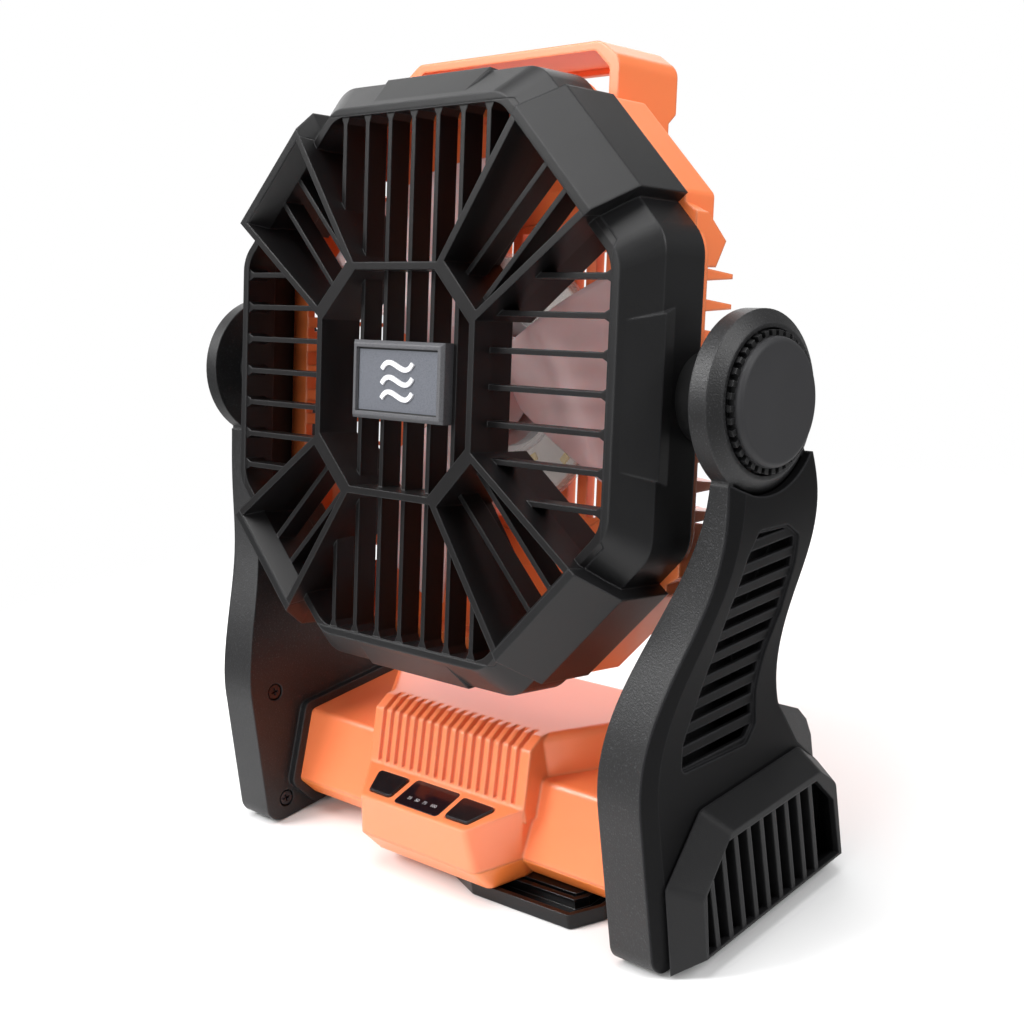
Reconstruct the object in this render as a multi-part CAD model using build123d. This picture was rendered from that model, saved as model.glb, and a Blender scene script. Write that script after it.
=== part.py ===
from build123d import *
import math
import os

# Portable camping fan: a tilting octagonal fan head between two legs, on a battery base.
# Frame: +Z up, +X to the right seen from the front, the front faces -Y, millimetres.
# Origin: middle of the footprint, on the surface that the rubber feet stand on.

# ---- driving dimensions: stance and pivot ----
centre_shift_y = -0.732   # moves every piece so that the origin is under the overall middle
pivot_y = -2.6            # tilt axis, before that shift
pivot_z = 179.5           # tilt axis above the ground
head_tilt = 13.76         # degrees that the head leans back at rest
pivot_depth = 40.7        # tilt axis behind the front plane of the head
foot_height = 0.6         # rubber foot under each leg
running_gap = 0.05        # radial clearance of a pin that turns in a bore
wall = 2.4                # usual moulded wall

# ---- driving dimensions: fan head (x across, y back from its front plane, z up) ----
ring_rim_y = 6.9          # front face of the ring around the windows
ring_slope_y = 18.0       # where the ring's sloped face meets its straight wall
bezel_back_y = 37.5       # parting line between black front and orange back
ring_front_half = 96.7
ring_half = 106.0
ring_front_sum = 140.0    # x + z along the ring's cut corners, at the rim
ring_sum = 156.0          # the same at the straight wall
window_half = 93.6
window_sum = 136.0
corner_front = (90.0, 56.4)   # corner bracket, front edge of its end
corner_back = (97.9, 64.7)    # corner bracket, where its slope ends
corner_slope_y = 14.2
corner_rim = 3.2          # front edge of a bracket's end wall
hub_ring = (41.25, 21.9)      # corner of the octagon round the badge
rib_thickness = 2.6
rib_depth = 27.0
hub_ring_depth = 18.0
slat_pitch = 12.34
slat_thickness = 1.9
slat_front_y = 7.5
slat_depth = 8.5
slat_flare = 1.75         # each side of a slat spreads by this where it meets the ring
badge_width = 47.9
badge_height = 27.9
badge_front_y = 2.3

# ---- driving dimensions: rear housing and handle ----
flange_half = 97.0
flange_sum = 162.4
flange_corner_r = 3.0
flange_back_y = 52.5
rear_half = 74.0
rear_sum = 124.0
rear_wall_y = 76.0
rear_back_y = 78.5
rear_opening_r = 60.0
fin_pitch = 9.8
fin_root = 4.2            # thickness of a side fin at its front, and at its tip
fin_tip = 1.6
fin_half = 102.0
fin_back_y = 58.0
handle_half = 55.0
handle_flat_half = 46.0
handle_top_z = 119.2
handle_shoulder_z = 113.0
handle_front_y = 51.0
handle_back_y = 84.0
handle_side = 4.2         # thickness of the posts
handle_plate = 3.2        # thickness of the grip's top plate
handle_lip = 3.6          # thickness of its rear lip
handle_lip_drop = 5.2     # depth of that lip below the top
handle_post_z = 98.5

# ---- driving dimensions: fan, motor and lamp ----
blade_count = 3
blade_tip_r = 82.0
blade_hub_r = 20.0
blade_sheet = 1.7         # thickness of a blade
blade_root_chord = 22.0
blade_root_pitch = 48.0   # degrees out of the plane of rotation
blade_middle_r = 52.0
blade_middle_chord = 62.0
blade_middle_pitch = 18.0
blade_tip_chord = 96.0
blade_tip_pitch = 11.0
blade_front_y = 30.0
blade_back_y = 50.0
shaft_r = 2.5
bearing_r = 7.0
motor_r = 24.0
motor_front_y = 55.0
motor_back_y = 75.0
lamp_outer_r = 47.5
lamp_inner_r = 26.8
lamp_front_y = 54.5
lamp_back_y = 61.6

# ---- driving dimensions: legs ----
leg_inner_x = 93.5        # lower inner face of a leg
leg_outer_x = 111.0       # lower outer face of its front band
leg_hub_inner_x = 122.0   # the same two faces at the hub
leg_top_outer_x = 128.5
leg_top_inner_x = 118.0   # inner end of the boss that the head turns in
cover_thickness = 3.0
cover_bevel = 6.0         # width of the slope along the cover's front edge
hub_r = 28.8
hub_boss_r = 16.0
hub_bore_r = 8.0
hub_face_r = 24.4
knob_r = 22.4
knob_cap_r = 20.4
knob_face_x = 133.0
knob_cap_x = 135.4
foot_outer_x = 125.7
foot_taper = 30.0
foot_seam = 1.0           # gap between the foot cover's edge and the leg
foot_corner_r = 5.0
foot_bar_pitch = 7.1
foot_bar_width = 2.0

# ---- driving dimensions: base ----
body_end_x = 93.4
deck_z = 42.5
split_z = 15.6
body_bottom_z = 6.2
body_front_top_y = -36.0
body_front_low_y = -48.2
body_rear_y = 28.0
body_rear_top_y = 24.0
body_edge_r = 2.6
hump_z = 58.4
console_front_y = -65.3
console_half = 31.3
console_corner_r = 3.6
panel_front = (-64.5, 31.6)   # y, z of the control panel's front edge
panel_back = (-46.8, 35.4)
ridge_half = 42.0
ridge_count = 17


def face_yz(points):
    return make_face(Polyline(*points, close=True))


def prism_x(face, x_low, x_high):
    """A face drawn in Y and Z, extruded along X."""
    return extrude(Plane.YZ.offset(x_low) * face, x_high - x_low)


def prism_y(face, y_low, y_high):
    """A face drawn in X and Z, extruded along Y."""
    back = Plane(origin=(0, y_high, 0), x_dir=(1, 0, 0), z_dir=(0, -1, 0))
    return extrude(back * face, y_high - y_low)


def prism_z(face, z_low, z_high):
    """A face drawn in X and Y, extruded along Z."""
    return extrude(Plane.XY.offset(z_low) * face, z_high - z_low)


def rod_x(radius, x_low, x_high, y=0.0, z=0.0):
    return prism_x(Pos(y, z) * Circle(radius), x_low, x_high)


def rod_y(radius, y_low, y_high, x=0.0, z=0.0):
    return prism_y(Pos(x, z) * Circle(radius), y_low, y_high)


def rod_z(radius, z_low, z_high, x=0.0, y=0.0):
    return prism_z(Pos(x, y) * Circle(radius), z_low, z_high)


def box_between(low, high):
    size = [b - a for a, b in zip(low, high)]
    middle = [(a + b) / 2 for a, b in zip(low, high)]
    return Pos(*middle) * Box(*size)


def octagon_points(half, corner_sum):
    cut = corner_sum - half
    return [(half, -cut), (half, cut), (cut, half), (-cut, half),
            (-half, cut), (-half, -cut), (-cut, -half), (cut, -half)]


def octagon(half, corner_sum, radius=0.0):
    face = make_face(Polyline(*octagon_points(half, corner_sum), close=True))
    if radius:
        face = fillet(face.vertices(), radius)
    return face


def loft_y(front_face, y_front, back_face, y_back):
    """A ruled loft between two faces drawn in X and Z."""
    def place(face, y):
        return Plane(origin=(0, y, 0), x_dir=(1, 0, 0), z_dir=(0, -1, 0)) * face
    return loft([place(front_face, y_front), place(back_face, y_back)], ruled=True)


def four_corners(part):
    """The part and its copies turned by quarter turns about the fan axis."""
    copies = [Rotation(0, 90 * turn, 0) * part for turn in range(4)]
    return copies


def mirrored(part):
    return mirror(part, about=Plane.YZ)


def in_head(part):
    """Places a piece drawn in the head's own frame on the tilt axis."""
    lean = Location((0, pivot_y, pivot_z), (-head_tilt, 0, 0))
    return lean * Location((0, -pivot_depth, 0)) * part


def fuse(pieces):
    whole = pieces[0]
    for piece in pieces[1:]:
        whole = whole + piece
    return whole


# ---------------------------------------------------------------- fan head

def wedge_face(tip, corner, inset=0.0):
    """The wedge between two neighbouring ribs, in the +x +z quarter, pulled in by inset."""
    points = [tip, corner, (corner[1], corner[0]), (tip[1], tip[0])]
    face = make_face(Polyline(*points, close=True))
    if inset:
        face = offset(face, -inset, kind=Kind.INTERSECTION)
    return face


def wedge(inset, y_front, y_back):
    front = wedge_face(hub_ring, corner_front, inset)
    back = wedge_face(hub_ring, corner_back, inset)
    slope = loft_y(front, 0.0, back, corner_slope_y)
    straight = prism_y(back, corner_slope_y, y_back)
    whole = slope + straight
    if y_front < 0:
        whole = whole + prism_y(front, y_front, 0.0)
    return whole


def ring_body():
    front = octagon(ring_front_half, ring_front_sum, 12)
    back = octagon(ring_half, ring_sum, 14)
    outside = loft_y(front, ring_rim_y, back, ring_slope_y)
    outside += prism_y(back, ring_slope_y, bezel_back_y)
    window = prism_y(octagon(window_half, window_sum, 12), 0.0, bezel_back_y + 1)
    hollow_front = octagon(ring_front_half - 0.4, ring_front_sum - 1, 12)
    hollow_back = octagon(ring_half - wall, ring_sum - 2.6, 14)
    hollow = loft_y(hollow_front, ring_rim_y + wall + 1, hollow_back, ring_slope_y + wall)
    hollow += prism_y(hollow_back, ring_slope_y + wall, bezel_back_y + 1)
    inner_wall = prism_y(octagon(window_half + 2.0, window_sum + 2.8, 12), 0.0, ring_slope_y + 2.0)
    return outside, window + (hollow - inner_wall)


def side_panel():
    """The raised trapezium on the middle of the ring's slope, for the +x side."""
    slope = (ring_half - ring_front_half) / (ring_slope_y - ring_rim_y)
    proud = 1.3
    y_low = ring_rim_y + 2.0
    y_high = ring_slope_y + 6.0
    x_low = ring_front_half + 2.0 * slope
    section = Polyline((x_low - 2, y_low), (x_low, y_low), (ring_half + proud, ring_slope_y),
                       (ring_half, y_high), (x_low - 2, y_high), close=True)
    bar = prism_z(make_face(section), -28.0, 28.0)
    ends = make_face(Polyline((y_low, -23.5), (y_high, -28), (y_high, 28), (y_low, 23.5), close=True))
    return bar & prism_x(ends, 80.0, ring_half + 5)


def slat_blade(place, near, far, flare=0.0):
    """One upright slat, from near to far above the middle; flare widens its far end."""
    half = slat_thickness / 2
    neck = far - 2 * flare
    outline = [(place - half, near), (place + half, near), (place + half, neck),
               (place + half + flare, far), (place - half - flare, far), (place - half, neck)]
    if not flare:
        outline = [outline[0], outline[1], (place + half, far), (place - half, far)]
    face = make_face(Polyline(*outline, close=True))
    return prism_y(face, slat_front_y, slat_front_y + slat_depth)


def slats():
    """The slats of the four windows, and the upright ones inside the octagon."""
    pieces = []
    reach = window_half + 1.0
    for k in range(-3, 4):
        x = k * slat_pitch
        outer = slat_blade(x, hub_ring[0] - 1.0, reach, slat_flare)
        for turn in range(4):
            pieces.append(Rotation(0, 90 * turn, 0) * outer)
        if abs(k) < 3:
            pieces.append(slat_blade(x, -hub_ring[0], hub_ring[0]))
    return pieces


def diagonal_slats():
    pieces = []
    start = (hub_ring[0] + hub_ring[1]) / math.sqrt(2) - 1
    end = sum(corner_back) / math.sqrt(2) - rib_thickness / 2
    for side in (-0.5, 0.5):
        offset_z = side * slat_pitch
        low = (start, slat_front_y, offset_z - slat_thickness / 2)
        high = (end, slat_front_y + slat_depth, offset_z + slat_thickness / 2)
        pieces.append(Rotation(0, -45, 0) * box_between(low, high))
    return fuse(pieces) & wedge(0.0, 0.0, bezel_back_y)


def bracket_cells():
    """The openings of one corner bracket: the cell with its sloped end wall, and the space behind."""
    across = math.sqrt(2)
    rim = sum(corner_front) / across - corner_rim
    throat = window_sum / across
    back = bezel_back_y + 1
    cell = [(0, -1), (rim, -1), (rim, 0), (throat, slat_front_y), (throat, back), (0, back)]
    behind = [(throat + 2.2, back), (throat + 2.2, 9.0), (throat + 4.6, 4.5), (throat + 30, 4.5), (throat + 30, back)]
    section = make_face(Polyline(*cell, close=True)) + make_face(Polyline(*behind, close=True))
    openings = Rotation(0, -45, 0) * prism_z(section, -60, 60)
    return openings & wedge(rib_thickness, -1.0, back)


def front_moulding():
    ring_outside, ring_inside = ring_body()
    for turned in four_corners(side_panel()):
        ring_outside += turned
    wedge_outside = wedge(0.0, 0.0, bezel_back_y)
    straight_slats = fuse(slats())
    for turned in four_corners(wedge_outside):
        ring_inside -= turned
        straight_slats -= turned
    body = ring_outside - ring_inside
    for turned in four_corners(wedge_outside):
        body += turned
    for turned in four_corners(bracket_cells()):
        body -= turned
    hub_outside = octagon(hub_ring[0], sum(hub_ring))
    hub_inside = octagon(hub_ring[0] - rib_thickness, sum(hub_ring) - 3.7)
    body += prism_y(hub_outside, 0.0, hub_ring_depth)
    body -= prism_y(hub_inside, -1.0, bezel_back_y + 1)
    body += straight_slats - prism_y(Rectangle(badge_width - 3, badge_height - 3), 0, 12)
    for turned in four_corners(diagonal_slats()):
        body += turned
    # room for the blades behind the ribs, and for the badge in front of the slats
    clear = prism_y(octagon(window_half, window_sum, 12), rib_depth, bezel_back_y + 1)
    body -= clear
    seat = prism_y(Rectangle(badge_width - 4, badge_height - 4), ring_rim_y + 1.5, ring_rim_y + 7)
    return body + seat


def grille_zone():
    """The space within the ring's opening and the brackets' outer walls."""
    reach = sum(corner_front) - corner_rim * math.sqrt(2)
    return prism_y(octagon(window_half + 0.4, reach), -1.0, rib_depth)


def make_front_bezel(moulding):
    bezel = moulding - grille_zone()
    for boss in four_corners(head_boss(24, bezel_back_y)):
        bezel += boss
    r = head_screw_place()
    for turned in four_corners(rod_y(1.5, 27, 60, r, r)):
        bezel -= turned
    return bezel


def make_front_grille(moulding):
    return moulding & grille_zone()


def make_badge_plate():
    frame = prism_y(Rectangle(badge_width, badge_height), badge_front_y, ring_rim_y + 0.6)
    frame = chamfer(frame.edges().filter_by(Axis.Y, reverse=True).group_by(Axis.Y)[0], 1.2)
    recess = prism_y(Rectangle(badge_width - 5.0, badge_height - 5.0), 0, badge_front_y + 1.1)
    frame -= recess
    back = prism_y(Rectangle(badge_width - 4, badge_height - 4), ring_rim_y + 0.6, ring_rim_y + 1.5)
    return frame + back


def make_badge_symbol():
    """Three plain wavy bars: a generic sign for moving air."""
    bars = []
    for row in (-1, 0, 1):
        z = row * 5.2
        wave = Spline((-8, z - 1.2), (-4, z + 1.2), (0, z), (4, z - 1.2), (8, z + 1.2))
        bars.append(prism_y(trace(wave, 1.7), badge_front_y + 0.5, badge_front_y + 1.1))
    return bars


def housing_block(back_y):
    """The housing's outside: an octagonal flange, then a slope to the smaller rear wall."""
    flange = octagon(flange_half, flange_sum, flange_corner_r)
    rear = octagon(rear_half, rear_sum, flange_corner_r)
    block = prism_y(flange, bezel_back_y, flange_back_y)
    block += loft_y(flange, flange_back_y, rear, rear_wall_y)
    return block + prism_y(rear, rear_wall_y, back_y)


def make_rear_housing():
    lip = octagon(ring_half - 1.4, ring_sum - 1.5, 14) + octagon(flange_half, flange_sum, flange_corner_r)
    body = prism_y(lip, bezel_back_y, bezel_back_y + 3.5)
    body += housing_block(rear_back_y)
    inner_flange = octagon(flange_half - wall, flange_sum - 3.4)
    inner_rear = octagon(rear_half - wall, rear_sum - 3.4)
    hollow = prism_y(inner_flange, bezel_back_y - 1, flange_back_y)
    hollow += loft_y(inner_flange, flange_back_y, inner_rear, rear_wall_y)
    body -= hollow
    body -= rod_y(rear_opening_r, rear_wall_y - 1, rear_back_y + 1)
    fin_rows = [k * fin_pitch for k in range(-4, 5)]
    vent_top = 4.5 * fin_pitch
    for side in (-1, 1):
        x_low, x_high = sorted((side * 78.0, side * (flange_half + 12)))
        body -= box_between((x_low, bezel_back_y + 3.5, -vent_top), (x_high, 70.0, vent_top))
        tooth = vent_tooth(side)
        body += tooth
        body += mirror(tooth, about=Plane.XY)
        for z in fin_rows:
            body += vent_fin(side, z)
        x_low, x_high = sorted((side * (flange_half - wall), side * ring_half))
        body += box_between((x_low, bezel_back_y, -16), (x_high, 57, 16))
    body -= prism_y(octagon(window_half, window_sum, 12), 0, bezel_back_y + 0.01)
    for boss in four_corners(head_boss(bezel_back_y, 52)):
        body += boss
    r = head_screw_place()
    hole = rod_y(1.6, 0, 60, r, r) + rod_y(3.3, 46.4, 80, r, r)
    for turned in four_corners(hole):
        body -= turned
    for z in (-9.0, 9.0):
        body -= rod_x(1.6, -120, 120, 49.0, z)
        body -= rod_x(3.1, -flange_half + wall, flange_half - wall, 49.0, z)
    for x, z in grille_screw_places():
        body -= rod_y(1.0, 0, 90, x, z)
    return body


def vent_tooth(side):
    """The pointed block above a side vent, proud of the flange."""
    front_view = [(flange_half - wall, 62.0), (flange_half, 62.0), (fin_half, 58.8),
                  (fin_half, 41.7), (flange_half - wall, 41.7)]
    front_face = make_face(Polyline(*[(side * x, z) for x, z in front_view], close=True))
    side_view = [(bezel_back_y, 62.0), (41.0, 61.0), (53.5, 50.4), (48.6, 41.7), (bezel_back_y, 41.7)]
    x_low, x_high = sorted((side * 90.0, side * (fin_half + 1)))
    return prism_y(front_face, bezel_back_y, 60.0) & prism_x(face_yz(side_view), x_low, x_high)


def vent_fin(side, z):
    """One horizontal fin across a side vent, thinning from the flange to its tip."""
    outline = [(flange_half - wall, bezel_back_y), (fin_half, bezel_back_y + 3.5),
               (fin_half, fin_back_y), (flange_half - 15, flange_back_y + 15.5),
               (flange_half - 17.5, flange_back_y + 14)]
    face = make_face(Polyline(*[(side * x, y) for x, y in outline], close=True))
    root, tip = fin_root / 2, fin_tip / 2
    taper = [(bezel_back_y - 1, z - root), (bezel_back_y + 5, z - root), (fin_back_y, z - tip), (80, z - tip),
             (80, z + tip), (fin_back_y, z + tip), (bezel_back_y + 5, z + root), (bezel_back_y - 1, z + root)]
    return prism_z(face, z - root, z + root) & prism_x(face_yz(taper), -120, 120)


def make_rear_grille():
    disc = rod_y(65.0, rear_back_y, rear_back_y + 2.0)
    disc += rod_y(rear_opening_r - 0.1, rear_back_y - 2.4, rear_back_y)
    slot_pitch = 9.6
    for k in range(-6, 7):
        x = k * slot_pitch
        reach = math.sqrt(57.0 ** 2 - x ** 2) if abs(x) < 57 else 0
        if reach > 6:
            disc -= box_between((x - 2.4, rear_back_y - 3, -reach), (x + 2.4, rear_back_y + 3, reach))
    for z in (-30.0, 30.0):
        disc += box_between((-48, rear_back_y - 2.4, z - 1.5), (48, rear_back_y, z + 1.5))
    disc += rod_y(motor_r + 4, rear_back_y - 2.4, rear_back_y + 2.0)
    for x, z in grille_screw_places():
        disc -= rod_y(1.1, 0, 90, x, z)
    return disc


def grille_screw_places():
    angles = [math.radians(60 * k + 30) for k in range(6)]
    return [(62.4 * math.cos(angle), 62.4 * math.sin(angle)) for angle in angles]


def handle_face(side_inset, top_inset, foot_z, radius):
    """The handle seen from the front, pulled in at its sides and its top."""
    half = handle_half - side_inset
    flat = handle_flat_half - side_inset * 0.5
    top = handle_top_z - top_inset
    shoulder = handle_shoulder_z - top_inset
    points = [(half, foot_z), (half, shoulder), (flat, top), (-flat, top), (-half, shoulder), (-half, foot_z)]
    face = make_face(Polyline(*points, close=True))
    return fillet([v for v in face.vertices() if v.Y > foot_z + 1], radius)


def make_handle():
    """An L-section band: a flat outer plate with a short lip along its rear edge."""
    foot_z = flange_half - 20
    band = prism_y(handle_face(0, 0, foot_z, 6.0), handle_front_y, handle_back_y)
    rear_edges = [e for e in band.edges() if e.center().Y > handle_back_y - 0.01 and e.center().Z > foot_z + 1]
    band = fillet(rear_edges, 1.8)
    inner = handle_face(handle_side, handle_plate, foot_z - 10, 3.0)
    band -= prism_y(inner, handle_front_y - 1, handle_back_y - handle_lip)
    opening = handle_face(handle_side, handle_lip_drop, foot_z - 10, 3.0)
    band -= prism_y(opening, handle_front_y - 1, handle_back_y + 1)
    post_y = handle_back_y - 5.0
    narrow = [(handle_back_y + 1, handle_post_z), (handle_back_y, handle_post_z), (post_y, handle_post_z - 4.7),
              (post_y, foot_z - 1), (handle_back_y + 1, foot_z - 1)]
    band -= prism_x(face_yz(narrow), -handle_half - 1, handle_half + 1)
    return band - housing_block(handle_back_y + 5)


# ---------------------------------------------------------------- fan, motor and lamp

def blade(turn):
    """One blade, widening from the hub to beyond the tip circle, before trimming."""
    def section(radius, chord, pitch):
        plane = Plane(origin=(radius, (blade_front_y + blade_back_y) / 2, 0), x_dir=(0, 1, 0), z_dir=(1, 0, 0))
        return plane * (Rotation(0, 0, pitch) * Rectangle(blade_sheet, chord))
    root = section(blade_hub_r - 4, blade_root_chord, blade_root_pitch)
    middle = section(blade_middle_r, blade_middle_chord, blade_middle_pitch)
    tip = section(blade_tip_r + 14, blade_tip_chord, blade_tip_pitch)
    return Rotation(0, turn, 0) * loft([root, middle, tip])


def make_fan_blade():
    hub = rod_y(blade_hub_r, blade_front_y, blade_back_y)
    hub -= rod_y(blade_hub_r - 2, blade_front_y + 2.5, blade_back_y + 1)
    hub += rod_y(5.5, blade_front_y + 1, blade_back_y)
    trim = rod_y(blade_tip_r, blade_front_y, blade_back_y)
    core = rod_y(blade_hub_r - 1, 0, 90)
    for k in range(blade_count):
        hub += (blade(360 / blade_count * k) & trim) - core
    return hub - rod_y(shaft_r, 0, 90)


def make_motor_shaft():
    return rod_y(shaft_r, blade_front_y - 4.0, motor_back_y - 1.6)


def make_motor_rotor():
    return rod_y(13.2, motor_front_y + 6, motor_back_y - 7) - rod_y(shaft_r, 0, 90)


def make_blade_nut():
    nut = prism_y(RegularPolygon(4.6, 6), blade_front_y - 3.2, blade_front_y)
    return nut - rod_y(shaft_r, 0, 90)


def make_motor_housing():
    can = rod_y(motor_r, motor_front_y, motor_back_y)
    can -= rod_y(motor_r - 1.5, motor_front_y + 2, motor_back_y - 1.5)
    can += rod_y(bearing_r + 2, motor_front_y, motor_front_y + 5)
    can += rod_y(bearing_r + 2, motor_back_y - 6, motor_back_y)
    can -= rod_y(bearing_r, motor_front_y - 1, motor_front_y + 6)
    can -= rod_y(bearing_r, motor_back_y - 7, motor_back_y - 1.5)
    return can


def make_motor_bearings():
    rings = []
    for y in (motor_front_y + 0.4, motor_back_y - 6.0):
        rings.append(rod_y(bearing_r, y, y + 4.4) - rod_y(shaft_r + running_gap, 0, 90))
    return rings


def make_motor_stator():
    ring = rod_y(motor_r - 1.5, motor_front_y + 6.5, motor_back_y - 7.5)
    return ring - rod_y(14.0, 0, 90)


def make_motor_mount():
    cup = rod_y(motor_r + 2.5, motor_front_y + 4.6, rear_back_y - 2.4)
    cup += rod_y(lamp_outer_r - 1.2, lamp_back_y - 2.0, lamp_back_y)
    cup -= rod_y(motor_r, motor_front_y, motor_back_y)
    cup -= rod_y(bearing_r + 2, motor_back_y, rear_back_y)
    for k in range(6):
        angle = math.radians(60 * k)
        cup -= rod_y(4.0, lamp_back_y - 3, lamp_back_y + 1, 36 * math.cos(angle), 36 * math.sin(angle))
    return cup


def make_led_board():
    back = lamp_back_y - 2.0
    return rod_y(lamp_outer_r - 1.4, back - 1.6, back) - rod_y(lamp_inner_r + 1.2, 0, 90)


def make_led_chips():
    chips = []
    top = lamp_back_y - 3.6
    for radius, count in ((41.0, 18), (31.5, 12)):
        for k in range(count):
            angle = 360 / count * k
            chip = box_between((radius - 1.4, top - 0.8, -1.7), (radius + 1.4, top, 1.7))
            chips.append(Rotation(0, angle, 0) * chip)
    return chips


def make_led_lens():
    lens = rod_y(lamp_outer_r, lamp_front_y, lamp_back_y) - rod_y(lamp_inner_r, 0, 90)
    inside = rod_y(lamp_outer_r - 1.2, lamp_front_y + 1.3, 90) - rod_y(lamp_inner_r + 1.0, 0, 90)
    seat = rod_y(lamp_inner_r + 1.0, lamp_back_y - 2.0, 90)
    return lens - inside - seat


# ---------------------------------------------------------------- pivots and knobs

def make_trunnion():
    """The right-hand trunnion, in the head's frame: boss and journal."""
    y = pivot_depth
    piece = rod_x(15.0, ring_half, leg_top_inner_x - 1.2, y)
    piece += rod_x(hub_bore_r, leg_top_inner_x - 2, leg_top_outer_x - 3.2, y)
    piece -= rod_x(2.5, ring_half + 3, leg_top_outer_x, y)
    for z in (-9.0, 9.0):
        piece -= rod_x(1.5, ring_half - 1, ring_half + 8, 49.0, z)
    return piece


def make_pivot_washer():
    ring = rod_x(13.5, leg_top_inner_x - 1.2, leg_top_inner_x - 0.1, pivot_depth)
    return ring - rod_x(hub_bore_r, 90, 140, pivot_depth)


def make_knob():
    y = pivot_depth
    body = rod_x(knob_r, leg_top_outer_x - 0.6, knob_face_x, y)
    notch_count = 36
    for k in range(notch_count):
        notch = box_between((knob_face_x - 2.6, knob_r - 1.9, -0.95), (knob_face_x + 1, knob_r + 1, 0.95))
        body -= Pos(0, y, 0) * Rotation(360 / notch_count * k, 0, 0) * notch
    body -= rod_x(knob_r - 3.0, leg_top_outer_x - 1, leg_top_outer_x + 1.2, y)
    body += rod_x(6.0, leg_top_outer_x - 2.4, leg_top_outer_x + 2, y)
    return body - rod_x(2.5, 90, leg_top_outer_x + 1, y)


def make_knob_cap():
    y = pivot_depth
    cap = rod_x(knob_cap_r, knob_face_x, knob_cap_x, y)
    return fillet(cap.edges().group_by(Axis.X)[-1], 1.9)


def make_clamp_stud():
    return rod_x(2.5 - running_gap, ring_half + 4, leg_top_outer_x + 0.9, pivot_depth)


# ---------------------------------------------------------------- legs

def leg_front_curve(x_low, x_top, z_start, z_end):
    """A leg face seen from the front: upright, then an S outwards, then upright at the hub."""
    foot = Line((x_low, -5), (x_low, z_start))
    span = z_end - z_start
    middle = ((x_low + x_top) / 2, z_start + span * 0.53)
    sweep = Spline((x_low, z_start), middle, (x_top, z_end), tangents=((0, 1), (0, 1)))
    top = Line((x_top, z_end), (x_top, pivot_z + 40))
    return foot, sweep, top


def leg_slab(inner_shift, outer_shift, y_low=-80, y_high=60, outer_from_inner=False):
    """The space between a leg's inner and outer faces, each shifted along X."""
    inner = leg_front_curve(leg_inner_x + inner_shift, leg_hub_inner_x + inner_shift, 64, 166)
    outer = leg_front_curve(leg_outer_x + outer_shift, leg_top_outer_x + outer_shift, 66, 150)
    if outer_from_inner:
        inner = leg_front_curve(leg_outer_x + inner_shift, leg_top_outer_x + inner_shift, 66, 150)
    low = Line(inner[0] @ 0, outer[0] @ 0)
    high = Line(inner[2] @ 1, outer[2] @ 1)
    face = make_face([*inner, *outer, low, high])
    return prism_y(face, y_low, y_high)


leg_front_points = [(-62.2, 56), (-58.9, 72.4), (-50.9, 89.9), (-38.0, 112.6), (-29.2, 135.7), (-23.6, 158)]
leg_rear_points = [(18.2, 158), (19.4, 146), (16.1, 118.8), (11.0, 88), (11.3, 69)]


def leg_profile(heel_points, sole_z, inset=0.0):
    """The side view of a leg without its hub, pulled in by inset for its hollow."""
    front_points = [(y + inset, z) for y, z in leg_front_points]
    rear_points = [(y - inset, z) for y, z in leg_rear_points]
    heel_points = [(y - inset, z - inset / 2) for y, z in heel_points]
    toe_y = -65.0 + inset
    heel_y = heel_points[-1][0]
    shin = Line((toe_y, sole_z + inset), front_points[0])
    front = Spline(*front_points)
    top = Line(front_points[-1], rear_points[0])
    rear = Spline(*rear_points)
    heel = Polyline(rear_points[-1], *heel_points, (heel_y, sole_z + inset))
    sole = Line((heel_y, sole_z + inset), (toe_y, sole_z + inset))
    face = make_face([shin, front, top, rear, heel, sole])
    toe = [v for v in face.vertices() if v.Y < sole_z + inset + 1 and v.X < 0]
    return fillet(toe, 7.0 - inset)


def leg_outline(heel_points, sole_z):
    """The side view of a leg with its round hub, the front band running up into it."""
    neck = [(leg_front_points[-1][0], 157.0), (-21.6, 164.0), (16.4, 164.0), (leg_rear_points[0][0], 157.0)]
    face = leg_profile(heel_points, sole_z) + face_yz(neck)
    return face + Pos(pivot_y, pivot_z) * Circle(hub_r)


heel_inner = [(16.1, 65.8), (26.6, 59.8), (31.0, 54.0), (33.0, 47.0)]
heel_cover = [(20.3, 50.4), (31.5, 38.0)]


def body_section(grow=0.0, radius=body_edge_r):
    """The base body's cross-section in Y and Z, grown outwards, with rounded corners."""
    points = [(body_front_top_y, deck_z), (body_front_low_y, split_z), (body_front_low_y + 7, body_bottom_z),
              (body_rear_y - 5, body_bottom_z), (body_rear_y, split_z), (body_rear_top_y, deck_z)]
    face = make_face(Polyline(*points, close=True))
    if grow:
        face = offset(face, grow, kind=Kind.INTERSECTION)
    return fillet(face.vertices(), max(radius + grow, 0.8))


screw_places = [(-50.3, 55.2), (-54.3, 8.7)]     # y, z of the leg screws
base_leg_rows = (-20.0, 4.0)                       # y of the screws between base and leg
base_leg_z = 26.0


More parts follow.
